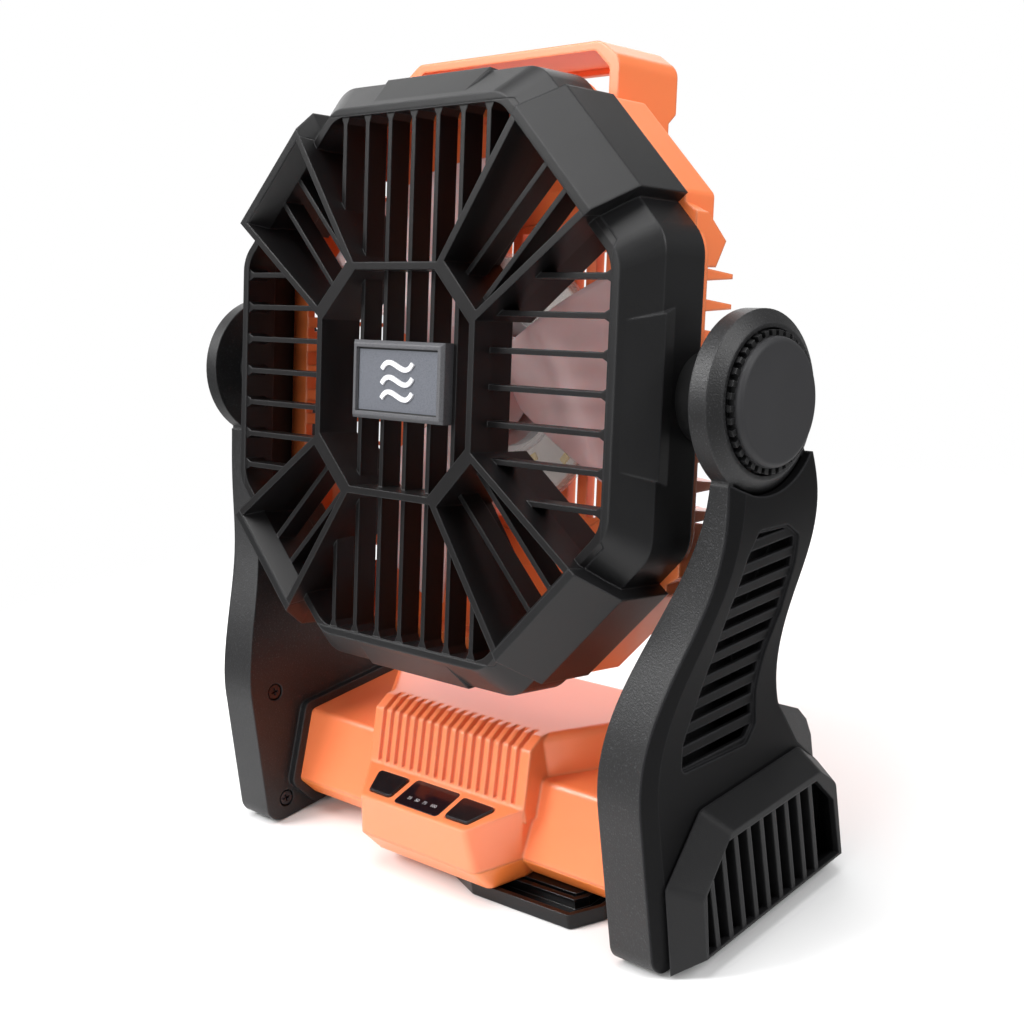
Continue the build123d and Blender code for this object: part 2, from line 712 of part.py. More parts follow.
def make_leg_shell():
    """Right inner leg shell: front band, inner face, hub and the collar round the base's end."""
    y, z = pivot_y, pivot_z
    outside = prism_x(leg_outline(heel_inner, foot_height), 80, 140)
    shell = outside & leg_slab(0, 0)
    under_cover = prism_x(leg_profile(heel_cover, foot_height, wall), 80, 140)
    under_cover += rod_x(hub_r - 3, 80, 140, y, z)
    shell -= under_cover & leg_slab(2.6, 0.5)
    shell -= prism_x(leg_profile(heel_inner, foot_height, wall), 80, 140) & leg_slab(2.6, -wall)
    shell += rod_x(hub_boss_r, leg_top_inner_x, leg_hub_inner_x + 1, y, z)
    shell += rod_x(hub_bore_r + 3.5, leg_hub_inner_x, leg_top_outer_x - 3, y, z)
    cone = Plane(origin=(leg_top_outer_x, y, z), x_dir=(0, 1, 0), z_dir=(1, 0, 0))
    face_ring = cone * Pos(0, 0, cover_thickness / 2) * Cone(hub_r, hub_face_r, cover_thickness)
    shell += face_ring
    shell += rod_x(hub_r - 1, leg_top_outer_x - 2.6, leg_top_outer_x, y, z)
    shell -= rod_x(knob_r + 0.6, leg_top_outer_x - 1.2, leg_top_outer_x + 10, y, z)
    shell -= rod_x(hub_bore_r + running_gap, 100, 140, y, z)
    collar = prism_x(body_section(3.6, 0.4), 90.0, leg_inner_x + 0.5)
    collar -= prism_x(body_section(0.1), 80, leg_inner_x)
    shell += collar - box_between((80, -90, -5), (100, 90, foot_height))
    for y in base_leg_rows:
        shell += rod_x(4.0, leg_inner_x + 1, leg_inner_x + 12, y, base_leg_z)
        shell -= rod_x(1.45, leg_inner_x - 1, leg_inner_x + 11, y, base_leg_z)
    for place in screw_places:
        shell += rod_x(4.6, leg_inner_x + 1, leg_outer_x, *place) & outside
        shell -= rod_x(3.6, leg_inner_x - 1, leg_inner_x + 2.4, *place)
        shell -= rod_x(1.45, leg_inner_x, leg_outer_x + 1, *place)
    return shell


recess_points = [(-13.0, 140.6), (2.5, 138.0), (10.0, 132.0), (10.6, 122.0), (8.6, 105.0), (2.6, 90.5),
                 (-0.8, 79.0), (-1.9, 66.5), (-7.8, 61.4), (-42.9, 65.5), (-41.2, 75.1), (-33.8, 88.3),
                 (-28.0, 102.7), (-24.0, 118.4), (-18.7, 133.3)]
louvre_pitch = 7.35
louvre_gap = 3.9
louvre_fall = 5.0          # degrees that each slot falls towards the back


def make_leg_cover():
    """Right outer leg cover: bevelled rim, sunk louvre field, concave cut round the hub."""
    profile = leg_profile(heel_cover, foot_height)
    plate = prism_x(profile, 100, 140) & leg_slab(0, cover_thickness, outer_from_inner=True)
    plate = bevel_cover(plate)
    plate -= rod_x(hub_r + 0.6, 100, 140, pivot_y, pivot_z)
    field = fillet(face_yz(recess_points).vertices(), 2.5)
    sunk = prism_x(field, 100, 140) & leg_slab(cover_thickness - 1.3, cover_thickness + 2, outer_from_inner=True)
    plate -= sunk
    inner_field = prism_x(offset(field, -1.2), 100, 140)
    slots = []
    for k in range(11):
        z = 66.2 + k * louvre_pitch
        slot = Pos(120, -16, z) * Rotation(-louvre_fall, 0, 0) * Box(60, 90, louvre_gap)
        slots.append(slot & inner_field)
    for slot in slots:
        plate -= slot
    for place in screw_places:
        plate -= rod_x(1.45, leg_outer_x - 1, leg_outer_x + 1.6, *place)
    return plate


def bevel_cover(plate):
    """Slopes the front edge of the cover all the way up; the sole keeps its thickness."""
    sole = plate & box_between((100, -54, 0), (140, 31, 7.5))
    outward = [face for face in plate.faces() if face.normal_at().X > 0.94]
    foot_face = min(outward, key=lambda face: face.center().Z)
    front = [edge for edge in foot_face.edges() if abs((edge @ 0).Z - (edge @ 1).Z) > 0.6 and edge.center().Y < -20]
    return chamfer(front, cover_bevel, cover_thickness - 0.4, reference=foot_face) + sole


foot_outline = [(-60.6, 1.4), (-58.4, 31.8), (-37.0, 50.6), (19.0, 49.4), (31.0, 38.0), (31.0, 1.4)]
window_outline = [(-52.9, 8.4), (-50.6, 29.2), (-37.0, 42.2), (13.6, 41.0), (22.6, 29.8), (23.3, 8.4)]


def make_foot_shell():
    """Right foot cover: a tapered box with a barred window."""
    x_low = leg_outer_x + cover_thickness
    x_edge = x_low + foot_seam
    outline = face_yz(foot_outline)
    inner = offset(outline, -wall, kind=Kind.INTERSECTION)
    height = foot_outer_x - x_edge
    body = extrude(Plane.YZ.offset(x_edge) * outline, height, taper=foot_taper)
    slanted = [e for e in body.edges() if foot_seam < e.center().X - x_edge < height - foot_seam]
    body = fillet([e for e in slanted if e.center().Z > 12], foot_corner_r)
    body += prism_x(offset(outline, -1.2, kind=Kind.INTERSECTION), x_low, x_edge)
    body -= extrude(Plane.YZ.offset(x_edge) * inner, height - wall, taper=foot_taper)
    body -= prism_x(inner, x_low, x_edge)
    opening = prism_x(face_yz(window_outline), foot_outer_x - 6, foot_outer_x + 2)
    body -= opening
    for k in range(9):
        y = -46.9 + foot_bar_pitch * k
        bar = box_between((foot_outer_x - 5, y - foot_bar_width / 2, 0),
                          (foot_outer_x - 0.5, y + foot_bar_width / 2, 60))
        body += bar & prism_x(offset(face_yz(window_outline), 0.6), 100, 140)
    return body


def make_rubber_feet():
    pads = []
    for side in (-1, 1):
        for y in (-50.0, 20.0):
            pads.append(box_between((side * 102.5 - 6, y - 8, 0), (side * 102.5 + 6, y + 8, foot_height)))
    return pads


def make_leg_screws():
    screws = []
    for place in screw_places:
        head = rod_x(2.9, leg_inner_x + 0.4, leg_inner_x + 2.4, *place)
        shank = rod_x(1.45, leg_inner_x + 2.4, leg_outer_x + 1.5, *place)
        drive = box_between((leg_inner_x, place[0] - 1.6, place[1] - 0.4),
                            (leg_inner_x + 1.4, place[0] + 1.6, place[1] + 0.4))
        cross = box_between((leg_inner_x, place[0] - 0.4, place[1] - 1.6),
                            (leg_inner_x + 1.4, place[0] + 0.4, place[1] + 1.6))
        screws.append((head - drive - cross) + shank)
    return screws + [mirrored(screw) for screw in screws]


# ---------------------------------------------------------------- base

console_low = [(console_half, console_front_y), (38.7, body_front_low_y)]
console_high = [(27.6, -64.4), (41.7, -46.9)]
console_under = [(31.0, -58.7), (36.0, -44.0)]
console_back_y = -32.0
ridged_outline = [(-46.8, 35.4), (-39.6, 55.2), (-33.1, hump_z), (-10, hump_z), (-10, 30), (-46.8, 30)]
hump_edge_r = 3.0
hump_plan = [(41.7, -33.1), (60.0, -11.5), (60.0, 3.0), (48.0, 15.0)]
display_half = 11.9
display_span = (2.1, 16.0)
button_outline = [(14.8, 3.3), (26.8, 3.5), (32.1, 14.5), (14.8, 14.7)]
button_proud = 0.9
button_travel = 1.0


def symmetric_plan(points, inset=0.0, front_radius=0.0):
    """A face in X and Y from its right-hand points, mirrored to the left."""
    left = [(-x, y) for x, y in reversed(points)]
    face = make_face(Polyline(*points, *left, close=True))
    if inset:
        face = offset(face, -inset, kind=Kind.INTERSECTION)
    if front_radius:
        face = fillet(face.vertices().group_by(Axis.Y)[0], front_radius)
    return face


def loft_z(low_face, z_low, high_face, z_high):
    return loft([Plane.XY.offset(z_low) * low_face, Plane.XY.offset(z_high) * high_face], ruled=True)


def panel_frame():
    """The control panel's plane: x across, y up its slope, z out of it."""
    rise = panel_back[1] - panel_front[1]
    run = panel_back[0] - panel_front[0]
    length = math.hypot(rise, run)
    origin = (0, panel_front[0], panel_front[1])
    return Plane(origin=origin, x_dir=(1, 0, 0), z_dir=(0, -rise / length, run / length))


def on_panel(face, low, high):
    """A face drawn on the control panel, extruded from low to high above it."""
    return extrude(panel_frame().offset(low) * face, high - low)


def above_panel(drop):
    """The space over the control panel, lowered by drop and kept that far off the ridged face."""
    run = panel_back[0] - panel_front[0]
    slope = (panel_back[1] - panel_front[1]) / run
    front_y, back_y = panel_front[0] - run, panel_back[0] + drop
    low_z, high_z = panel_front[1] - slope * run - drop, panel_back[1] + slope * drop - drop
    return prism_x(face_yz([(front_y, low_z), (back_y, high_z), (back_y, 80), (front_y, 80)]), -60, 60)


def console_upper(inset=0.0):
    radius = console_corner_r - inset
    low = symmetric_plan([*console_low, (38.7, console_back_y)], inset, radius)
    high = symmetric_plan([*console_high, (41.7, console_back_y)], inset, radius)
    return loft_z(low, split_z, high, 36.0) - above_panel(inset)


def console_lower(inset=0.0):
    radius = console_corner_r - inset
    low = symmetric_plan([*console_under, (36.0, console_back_y)], inset, radius)
    high = symmetric_plan([*console_low, (38.7, console_back_y)], inset, radius)
    return loft_z(low, body_bottom_z + inset, high, split_z)


def base_outside():
    body = prism_x(body_section(), -body_end_x, body_end_x)
    body += prism_x(face_yz(ridged_outline), -ridge_half, ridge_half)
    hump = prism_z(symmetric_plan(hump_plan), deck_z - 2, hump_z)
    rims = hump.edges().group_by(Axis.Z)[-1]
    hump = fillet([e for e in rims if e.center().Y > hump_plan[0][1] + 1], hump_edge_r)
    return body + hump + console_upper() + console_lower()


def base_inside():
    end = body_end_x - wall
    body = prism_x(body_section(-wall), -end, end)
    ridged = offset(face_yz(ridged_outline), -wall, kind=Kind.INTERSECTION)
    body += prism_x(ridged, -ridge_half + wall, ridge_half - wall)
    body += prism_z(symmetric_plan(hump_plan, wall), deck_z - 4, hump_z - wall)
    return body + console_upper(wall) + console_lower(wall)


def ridge_grooves():
    """Upright grooves in the face above the panel, running out over its rounded top."""
    outline = [(-47.0, 36.0), (-45.0, 36.4), (-38.3, 54.6), (-33.0, 56.8), (-29.6, hump_z),
               (-33.0, hump_z + 4), (-42.0, hump_z + 2), (-50.0, 38.0)]
    face = face_yz(outline)
    pitch = 2 * ridge_half / (ridge_count + 1.5)
    grooves = []
    for k in range(ridge_count):
        x = (k - (ridge_count - 1) / 2) * pitch
        grooves.append(prism_x(face, x - pitch * 0.24, x + pitch * 0.24))
    return grooves


def button_face(side, grow=0.0):
    points = [(side * x, y) for x, y in button_outline]
    face = make_face(Polyline(*points, close=True))
    face = fillet(face.vertices(), 1.6)
    return offset(face, grow) if grow else face


def display_face(grow=0.0):
    low, high = display_span
    face = Pos(0, (low + high) / 2) * Rectangle(2 * display_half, high - low)
    face = fillet(face.vertices(), 1.6)
    return offset(face, grow) if grow else face


def body_screw_places():
    return [(side * 86.0, y) for side in (-1, 1) for y in (-32.0, 15.0)]


def make_base_top():
    shell = base_outside() - base_inside()
    top = shell & box_between((-120, -90, split_z), (120, 60, 90))
    for groove in ridge_grooves():
        top -= groove
    top -= on_panel(display_face(), -1.0, 5)
    for side in (-1, 1):
        top -= on_panel(button_face(side, 0.25), -6, 5)
        for v in (4.5, 13.0):
            post = Pos(side * 12.7, v) * Rectangle(1.4, 3.0)
            top += on_panel(post, -key_board_depth, -wall + 0.2)
    for x in (-31.0, 31.0):
        for y in (-25.0, 4.0):
            top += rod_z(2.6, 45.6, hump_z - 1.0, x, y)
    for x, y in body_screw_places():
        boss = rod_z(4.0, split_z, deck_z - 1.0, x, y) - rod_z(1.5, split_z - 1, 28.0, x, y)
        top += boss
    top -= box_between((-34.6, 10, 32.2), (-25.4, 40, 35.8))
    for side in (-1, 1):
        for y in base_leg_rows:
            ends = sorted((side * 80, side * 100))
            top -= rod_x(1.6, ends[0], ends[1], y, base_leg_z)
    return top


key_board_depth = wall + 0.1 + 1.2 + 1.1 + 3.5


def make_base_bottom():
    shell = base_outside() - base_inside()
    bottom = shell & box_between((-120, -90, 0), (120, 60, split_z))
    for x, y in body_screw_places():
        bottom += rod_z(4.0, body_bottom_z, split_z, x, y)
        bottom -= rod_z(1.6, 0, 40, x, y)
        bottom -= rod_z(3.1, 0, body_bottom_z + 3.0, x, y)
    for x, y in seat_screw_places:
        bottom += rod_z(3.2, body_bottom_z + wall, body_bottom_z + 5.5, x, y)
        bottom -= rod_z(1.3, 0, body_bottom_z + 5.0, x, y)
    return bottom


def make_base_screws():
    screws = []
    for x, y in body_screw_places():
        head = rod_z(2.9, body_bottom_z + 0.8, body_bottom_z + 3.0, x, y)
        head -= prism_z(Pos(x, y) * RegularPolygon(1.3, 6), 0, body_bottom_z + 2.0)
        screws.append(head + rod_z(1.5, body_bottom_z + 3.0, 26.0, x, y))
    return screws


def make_base_leg_screws():
    screws = []
    for y in base_leg_rows:
        head = rod_x(3.0, body_end_x - wall - 2.2, body_end_x - wall, y, base_leg_z)
        screws.append(head + rod_x(1.45, body_end_x - wall, leg_inner_x + 10, y, base_leg_z))
    return screws + [mirrored(screw) for screw in screws]


def make_display_window():
    return on_panel(display_face(-0.05), -1.0, 0.15)


def make_button(side):
    cap = on_panel(button_face(side), -wall - 0.1, button_proud)
    cap = chamfer(cap.faces().sort_by(Axis.Z)[-1].edges(), 0.4)
    flange = on_panel(button_face(side, 0.9), -wall - 1.3, -wall - 0.1)
    return cap + flange


def make_button_switches():
    top = -wall - 1.3 - button_travel - 0.1
    switches = []
    for side in (-1, 1):
        switches.append(on_panel(Pos(side * 21.0, 9.0) * Rectangle(6.2, 6.2), -key_board_depth, top))
    return switches


def make_key_board():
    board = Pos(0, 9.0) * Rectangle(52, 12.0)
    return on_panel(board, -key_board_depth - 1.6, -key_board_depth)


cell_radius = 10.5
cell_length = 70.0
cell_rows = (-20.0, 5.0)


def cell_places():
    middle = cell_length / 2 + 2.0
    return [(x, y) for x in (-middle, middle) for y in cell_rows]


def make_battery_cells():
    z = body_bottom_z + wall + 2.0 + cell_radius
    half = cell_length / 2
    return [rod_x(cell_radius, x - half, x + half, y, z) for x, y in cell_places()]


def make_battery_holder():
    z = body_bottom_z + wall + 2.0 + cell_radius
    tray = box_between((-76, -33, body_bottom_z + wall), (76, 18, z - 1.0))
    for x, y in cell_places():
        half = cell_length / 2 + 0.2
        tray -= rod_x(cell_radius + 0.1, x - half, x + half, y, z)
    return tray


def make_control_board():
    return box_between((-35, -29, 44.0), (35, 8, 45.6))


def make_charge_port():
    port = box_between((-34.5, 17.0, 32.3), (-25.5, 25.1, 35.7))
    port = fillet(port.edges().filter_by(Axis.Y), 1.4)
    mouth = box_between((-33.9, 19.0, 32.9), (-26.1, 26.0, 35.1))
    mouth = fillet(mouth.edges().filter_by(Axis.Y), 1.0)
    tongue = box_between((-33.0, 18.0, 33.7), (-27.0, 24.0, 34.3))
    return (port - mouth) + tongue


# ---------------------------------------------------------------- hanging hook

hook_outline = [(73.6, -45.0), (67.0, -56.2), (20.0, -57.6), (-12.0, -46.0), (-17.0, -38.0)]
hook_low_z = 0.4
hook_high_z = body_bottom_z - 0.4
hook_bar = 11.0
hook_pin_y = 2.0
hook_pin_z = (hook_low_z + hook_high_z) / 2
hook_reach = (hook_high_z - hook_low_z) / 2
seat_gap = 1.2
seat_screw_places = [(10.0, -38.0), (47.0, -38.0)]


def hook_face(inset, rear_y):
    left = hook_outline[-1][0]
    right = hook_outline[0][0]
    face = make_face(Polyline(*hook_outline, (left, rear_y + inset), (right, rear_y + inset), close=True))
    if inset:
        face = offset(face, -inset, kind=Kind.INTERSECTION)
    return face


def make_hook_bail():
    """A flat bail with a trough along its top, open at the back, where its pins sit."""
    rear = hook_pin_y + hook_reach
    outside = prism_z(hook_face(0, rear), hook_low_z, hook_high_z)
    outside = fillet(outside.edges().filter_by(Axis.Z), 2.0)
    opening = prism_z(hook_face(hook_bar, rear + 5), 0, 10)
    trough = prism_z(hook_face(2.0, rear - 12), hook_low_z + 1.6, 10)
    trough -= prism_z(hook_face(hook_bar - 2.0, rear + 5), 0, 10)
    bail = outside - opening - trough
    bar_height = hook_high_z - hook_low_z
    side_view = Pos(hook_pin_y - 50, hook_pin_z) * Rectangle(100, bar_height)
    side_view += Pos(hook_pin_y, hook_pin_z) * Circle(hook_reach)
    bail = bail & prism_x(side_view, -40, 100)
    return bail - rod_x(1.5 + running_gap, -30, 90, hook_pin_y, hook_pin_z)


def make_hook_seat():
    """The block inside the bail that it snaps round, under the base."""
    rear = hook_pin_y + hook_reach
    block = prism_z(hook_face(hook_bar + seat_gap, rear + 5), hook_low_z + 0.8, body_bottom_z)
    for x, y in seat_screw_places:
        block -= rod_z(1.35, 0, 10, x, y)
        block -= rod_z(2.7, 0, hook_low_z + 3.2, x, y)
    return block - rod_x(1.5, -30, 90, hook_pin_y, hook_pin_z)


def make_seat_screws():
    screws = []
    for x, y in seat_screw_places:
        head = rod_z(2.5, hook_low_z + 1.2, hook_low_z + 3.2, x, y)
        head -= prism_z(Pos(x, y) * RegularPolygon(1.1, 6), 0, hook_low_z + 2.2)
        screws.append(head + rod_z(1.25, hook_low_z + 3.2, body_bottom_z + 4.5, x, y))
    return screws


def make_hook_pins():
    left = hook_outline[-1][0]
    right = hook_outline[0][0]
    pins = []
    for outer, inward in ((left, 1), (right, -1)):
        ends = sorted((outer + inward * 2.0, outer + inward * (hook_bar + seat_gap + 6)))
        pins.append(rod_x(1.5, ends[0], ends[1], hook_pin_y, hook_pin_z))
    return pins


# ---------------------------------------------------------------- screws of the head

def head_screw_place():
    return 74.0


def head_boss(y_low, y_high):
    """A screw boss in one corner of the head, with the web that ties it to the wall."""
    r = head_screw_place()
    boss = rod_y(4.2, y_low, y_high, r, r)
    web = box_between((r * math.sqrt(2), y_low, -1.0), (113.6, y_high, 1.0))
    return boss + Rotation(0, -45, 0) * web


def make_head_screws():
    r = head_screw_place()
    screw = rod_y(3.0, 46.4, 49.0, r, r) + rod_y(1.5, 28.0, 46.4, r, r)
    screw -= prism_y(Pos(r, r) * RegularPolygon(1.3, 6), 47.4, 50)
    return four_corners(screw)


def make_grille_screws():
    screws = []
    for x, z in grille_screw_places():
        head = rod_y(2.2, rear_back_y + 2.0, rear_back_y + 3.2, x, z)
        screws.append(head + rod_y(1.0, rear_wall_y + 0.4, rear_back_y + 2.0, x, z))
    return screws


def make_trunnion_screws():
    screws = []
    for z in (-9.0, 9.0):
        head = rod_x(3.0, flange_half - wall - 2.4, flange_half - wall, 49.0, z)
        screws.append(head + rod_x(1.5, flange_half - wall, ring_half + 7, 49.0, z))
    return screws + [mirrored(screw) for screw in screws]


# ---------------------------------------------------------------- all pieces

def save(name, shape):
    if isinstance(shape, (list, tuple)):
        shape = Compound(children=list(shape))
    shape = Pos(0, centre_shift_y, 0) * shape
    export_step(shape, "parts/" + name + ".step")


def main():
    os.makedirs("parts", exist_ok=True)

    moulding = front_moulding()
    head_pieces = {
        "front_bezel": make_front_bezel(moulding),
        "front_grille": make_front_grille(moulding),
        "badge_plate": make_badge_plate(),
        "badge_symbol": make_badge_symbol(),
        "rear_housing": make_rear_housing(),
        "rear_grille": make_rear_grille(),
        "carry_handle": make_handle(),
        "motor_housing": make_motor_housing(),
        "motor_bearings": make_motor_bearings(),
        "motor_stator": make_motor_stator(),
        "motor_mount": make_motor_mount(),
        "motor_shaft": make_motor_shaft(),
        "motor_rotor": make_motor_rotor(),
        "fan_blade": make_fan_blade(),
        "blade_nut": make_blade_nut(),
        "led_board": make_led_board(),
        "led_chips": make_led_chips(),
        "led_lens": make_led_lens(),
        "trunnion_right": make_trunnion(),
        "trunnion_left": mirrored(make_trunnion()),
        "trunnion_screws": make_trunnion_screws(),
        "pivot_washers": [make_pivot_washer(), mirrored(make_pivot_washer())],
        "knob_right": make_knob(),
        "knob_left": mirrored(make_knob()),
        "knob_cap_right": make_knob_cap(),
        "knob_cap_left": mirrored(make_knob_cap()),
        "clamp_stud_right": make_clamp_stud(),
        "clamp_stud_left": mirrored(make_clamp_stud()),
        "head_screws": make_head_screws(),
        "grille_screws": make_grille_screws(),
    }
    for name, shape in head_pieces.items():
        if isinstance(shape, (list, tuple)):
            save(name, [in_head(piece) for piece in shape])
        else:
            save(name, in_head(shape))

    leg_shell = make_leg_shell()
    leg_cover = make_leg_cover()
    foot_shell = make_foot_shell()
    base_pieces = {
        "leg_shell_right": leg_shell,
        "leg_shell_left": mirrored(leg_shell),
        "leg_cover_right": leg_cover,
        "leg_cover_left": mirrored(leg_cover),
        "foot_shell_right": foot_shell,
        "foot_shell_left": mirrored(foot_shell),
        "leg_screws": make_leg_screws(),
        "rubber_feet": make_rubber_feet(),
        "base_top": make_base_top(),
        "base_bottom": make_base_bottom(),
        "base_screws": make_base_screws(),
        "base_leg_screws": make_base_leg_screws(),
        "display_window": make_display_window(),
        "button_right": make_button(1),
        "button_left": make_button(-1),
        "button_switches": make_button_switches(),
        "key_board": make_key_board(),
        "battery_cells": make_battery_cells(),
        "battery_holder": make_battery_holder(),
        "control_board": make_control_board(),
        "charge_port": make_charge_port(),
        "hook_bail": make_hook_bail(),
        "hook_seat": make_hook_seat(),
        "hook_pins": make_hook_pins(),
        "seat_screws": make_seat_screws(),
    }
    for name, shape in base_pieces.items():
        save(name, shape)


main()
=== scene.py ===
import bpy
import math
from mathutils import Matrix, Vector


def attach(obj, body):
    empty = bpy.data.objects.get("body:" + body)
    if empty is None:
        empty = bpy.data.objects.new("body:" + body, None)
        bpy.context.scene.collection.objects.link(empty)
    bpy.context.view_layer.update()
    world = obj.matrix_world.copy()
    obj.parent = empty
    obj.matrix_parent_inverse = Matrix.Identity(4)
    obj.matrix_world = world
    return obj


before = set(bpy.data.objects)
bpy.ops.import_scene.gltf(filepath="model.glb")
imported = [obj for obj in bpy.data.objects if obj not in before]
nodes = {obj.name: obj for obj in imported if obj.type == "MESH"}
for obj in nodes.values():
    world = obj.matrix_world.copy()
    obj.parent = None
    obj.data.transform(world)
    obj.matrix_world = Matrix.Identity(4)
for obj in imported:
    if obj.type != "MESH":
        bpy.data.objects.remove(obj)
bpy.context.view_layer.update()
mm = 0.001  # the frame is in metres


# shader expressions

class Wire:
    # one output socket, with the arithmetic that adds Math nodes
    def __init__(self, shading, socket):
        self.shading = shading
        self.socket = socket

    def math(self, operation, *values):
        return self.shading.add("ShaderNodeMath", {"operation": operation}, dict(enumerate(values)))

    def __add__(self, other):
        return self.math("ADD", self, other)

    def __sub__(self, other):
        return self.math("SUBTRACT", self, other)

    def __rsub__(self, other):
        return self.math("SUBTRACT", other, self)

    def __mul__(self, other):
        return self.math("MULTIPLY", self, other)

    def __truediv__(self, other):
        return self.math("DIVIDE", self, other)

    __radd__ = __add__
    __rmul__ = __mul__

    def largest(self, other):
        return self.math("MAXIMUM", self, other)

    def absolute(self):
        return self.math("ABSOLUTE", self)

    def swing(self, width):
        # a value from 0 to 1 as an offset of up to half the width either way
        return width * (self - 0.5)

    def ramp(self, low, high, outLow=0.0, outHigh=1.0):
        # smooth step from outLow to outHigh as the value goes from low to high
        settings = {"interpolation_type": "SMOOTHSTEP"}
        return self.shading.add("ShaderNodeMapRange", settings, {
            "Value": self, "From Min": low, "From Max": high, "To Min": outLow, "To Max": outHigh})


class Shading:
    # a node tree, filled one node at a time
    def __init__(self, tree):
        self.tree = tree
        tree.nodes.clear()

    def put(self, node, values):
        for key, value in values.items():
            socket = node.inputs[key]
            if isinstance(value, Wire):
                self.tree.links.new(value.socket, socket)
            elif socket.type == "RGBA" and len(value) == 3:
                socket.default_value = (*value, 1.0)
            else:
                socket.default_value = value

    def add(self, kind, settings=None, inputs=None, output=0):
        node = self.tree.nodes.new(kind)
        for key, value in (settings or {}).items():
            setattr(node, key, value)
        self.put(node, inputs or {})
        return Wire(self, node.outputs[output]) if node.outputs else node

    def place(self):
        return self.add("ShaderNodeTexCoord", output="Object")

    def axis(self, name):
        return self.add("ShaderNodeSeparateXYZ", None, {0: self.place()}, output=name)

    def along(self, direction):
        # distance along a direction from the origin
        settings = {"operation": "DOT_PRODUCT"}
        return self.add("ShaderNodeVectorMath", settings, {0: self.place(), 1: direction},
                        output="Value")

    def distance(self):
        return self.add("ShaderNodeVectorMath", {"operation": "LENGTH"}, {0: self.place()},
                        output="Value")

    def stretched(self, factors):
        # object coordinates scaled along each axis
        settings = {"operation": "MULTIPLY"}
        return self.add("ShaderNodeVectorMath", settings, {0: self.place(), 1: factors})

    def noise(self, scale, detail=2.0, contrast=0.5, place=None):
        return self.add("ShaderNodeTexNoise", None, {
            "Vector": place or self.place(), "Scale": scale, "Detail": detail,
            "Roughness": contrast})

    def mix(self, mask, first, second):
        # colours go through Mix; first where the mask is 0
        settings = {"data_type": "RGBA"}
        inputs = {"Factor": mask, 6: first, 7: second}
        return self.add("ShaderNodeMix", settings, inputs, output=2)


class Finish(Shading):
    # one material: a Principled shader and whatever feeds it
    def __init__(self, name, constants):
        self.material = bpy.data.materials.new(name)
        self.material.use_nodes = True
        super().__init__(self.material.node_tree)
        self.shader = self.tree.nodes.new("ShaderNodeBsdfPrincipled")
        self.put(self.shader, constants)
        surface = Wire(self, self.shader.outputs[0])
        self.add("ShaderNodeOutputMaterial", None, {"Surface": surface})

    def feed(self, **inputs):
        names = {"baseColour": "Base Color", "roughness": "Roughness", "normal": "Normal",
                 "metallic": "Metallic", "alpha": "Alpha"}
        self.put(self.shader, {names[key]: value for key, value in inputs.items()})

    def softEdges(self, radius, samples=4):
        return self.add("ShaderNodeBevel", {"samples": samples}, {"Radius": radius})

    def edgeMask(self, softNormal, low=0.004, high=0.12):
        # how far the rounded normal leans from the true one: 1 on edges, 0 on flats
        trueNormal = self.add("ShaderNodeNewGeometry", output="Normal")
        both = self.add("ShaderNodeVectorMath", {"operation": "DOT_PRODUCT"},
                        {0: softNormal, 1: trueNormal}, output="Value")
        return (1.0 - both).ramp(low, high)

    def bump(self, height, strength, distance, normal):
        return self.add("ShaderNodeBump", None, {
            "Height": height, "Strength": strength, "Distance": distance, "Normal": normal})


def scaled(colour, factor):
    return [channel * factor for channel in colour]


def dress(makeFinish, looks):
    # one finish for each look, on the CAD nodes that the look lists
    for name, look in looks.items():
        finish = makeFinish(name, look)
        for nodeName in look["nodes"]:
            piece = nodes[nodeName]
            if not piece.material_slots:
                piece.data.materials.append(finish.material)
            for slot in piece.material_slots:
                slot.material = finish.material


# black plastics

blackShared = {
    "grainDetail": 3.0, "grainContrast": 0.6, "grainStep": 0.25 * mm, "grainSwing": 0.1,
    "fleckBand": (0.54, 0.74),
    "patchScale": 45.0, "patchDetail": 4.0, "patchBand": (0.3, 0.7), "patchSwing": 0.08,
    "dull": 0.88,
    # band of patch noise where the rounded edges take the painted highlight
    "edgeWear": (0.2, 0.8, 0.45, 1.0),
}
